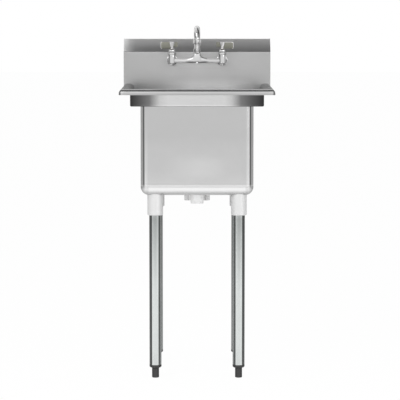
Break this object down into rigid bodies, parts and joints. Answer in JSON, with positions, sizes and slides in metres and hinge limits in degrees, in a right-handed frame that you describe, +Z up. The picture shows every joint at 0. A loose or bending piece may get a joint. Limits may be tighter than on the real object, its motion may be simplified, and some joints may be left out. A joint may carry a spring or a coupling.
{
  "type": "utility laundry sink",
  "caption": "Stainless floor-standing utility laundry sink: square deep bowl, rolled rim, slanted backsplash, tube legs with levelling feet and a wall-mounted swing-spout faucet.",
  "frame": {"origin": "on the floor, under the middle of the overall box", "axes": "+Z up, -Y towards the user, +X to the user's right; the wall is at +Y"},
  "size_m": [0.5334, 0.53, 1.225],
  "materials": {
    "satin_steel": "satin brushed stainless",
    "polished_steel": "polished stainless",
    "bright_steel": "bright satin",
    "galvanised_steel": "galvanised",
    "chrome": "polished chrome plate",
    "brass": "machined",
    "rubber": "matte",
    "fibre": "matte",
    "black_plastic": "matte"
  },
  "bodies": {
    "stand": {"bowl": "satin_steel", "ledge_front": "satin_steel", "ledge_rear": "satin_steel", "ledge_left": "satin_steel", "ledge_right": "satin_steel", "rim_front": "satin_steel", "rim_left": "satin_steel", "rim_right": "satin_steel", "apron_front": "polished_steel", "apron_left": "polished_steel", "apron_right": "polished_steel", "backsplash": "satin_steel", "splash_end_left": "satin_steel", "splash_end_right": "satin_steel", "leg_socket_front_left": "bright_steel", "leg_socket_front_right": "bright_steel", "leg_socket_rear_left": "bright_steel", "leg_socket_rear_right": "bright_steel", "leg_set_screws": "galvanised_steel", "leg_tube_front_left": "galvanised_steel", "leg_tube_front_right": "galvanised_steel", "leg_tube_rear_left": "galvanised_steel", "leg_tube_rear_right": "galvanised_steel", "foot_insert_front_left": "black_plastic", "foot_insert_front_right": "black_plastic", "foot_insert_rear_left": "black_plastic", "foot_insert_rear_right": "black_plastic", "drain_gasket": "rubber", "drain_body": "chrome", "drain_washer": "rubber", "drain_slip_ring": "fibre", "drain_locknut": "bright_steel", "faucet_body": "chrome", "wall_flanges": "chrome", "supply_shank_hot": "brass", "supply_shank_cold": "brass", "shank_washers": "rubber", "shank_nuts": "brass", "valve_cartridge_hot": "brass", "valve_cartridge_cold": "brass", "bonnet_nut_hot": "chrome", "bonnet_nut_cold": "chrome", "spout_nut": "chrome"},
    "spout_arm": {"spout": "chrome", "spout_oring": "rubber", "aerator": "chrome", "aerator_screen": "satin_steel"},
    "hot_lever": {"handle_hot": "chrome", "valve_stem_hot": "brass", "handle_screw_hot": "chrome"},
    "cold_lever": {"handle_cold": "chrome", "valve_stem_cold": "brass", "handle_screw_cold": "chrome"},
    "basket": {"basket_cup": "chrome", "basket_stopper": "rubber", "basket_knob": "chrome"},
    "adjuster_front_left": {"foot_front_left": "black_plastic"},
    "adjuster_front_right": {"foot_front_right": "black_plastic"},
    "adjuster_rear_left": {"foot_rear_left": "black_plastic"},
    "adjuster_rear_right": {"foot_rear_right": "black_plastic"}
  },
  "joints": [
    {"name": "spout_swivel", "type": "hinge", "parent": "stand", "child": "spout_arm", "pos_m": [0, 0.153, 1.125], "axis": [0, 0, 1], "range_deg": [-90, 90]},
    {"name": "hot_valve", "type": "hinge", "parent": "stand", "child": "hot_lever", "pos_m": [-0.0906, 0.153, 1.12], "axis": [0, 0, 1], "range_deg": [0, 90]},
    {"name": "cold_valve", "type": "hinge", "parent": "stand", "child": "cold_lever", "pos_m": [0.0906, 0.153, 1.12], "axis": [0, 0, -1], "range_deg": [0, 90]},
    {"name": "basket_lift", "type": "slide", "parent": "stand", "child": "basket", "axis": [0, 0, 1], "range_m": [0, 0.42]},
    {"name": "foot_adjust_front_left", "type": "slide", "parent": "stand", "child": "adjuster_front_left", "axis": [0, 0, -1], "range_m": [0, 0.025]},
    {"name": "foot_adjust_front_right", "type": "slide", "parent": "stand", "child": "adjuster_front_right", "axis": [0, 0, -1], "range_m": [0, 0.025]},
    {"name": "foot_adjust_rear_left", "type": "slide", "parent": "stand", "child": "adjuster_rear_left", "axis": [0, 0, -1], "range_m": [0, 0.025]},
    {"name": "foot_adjust_rear_right", "type": "slide", "parent": "stand", "child": "adjuster_rear_right", "axis": [0, 0, -1], "range_m": [0, 0.025]}
  ]
}
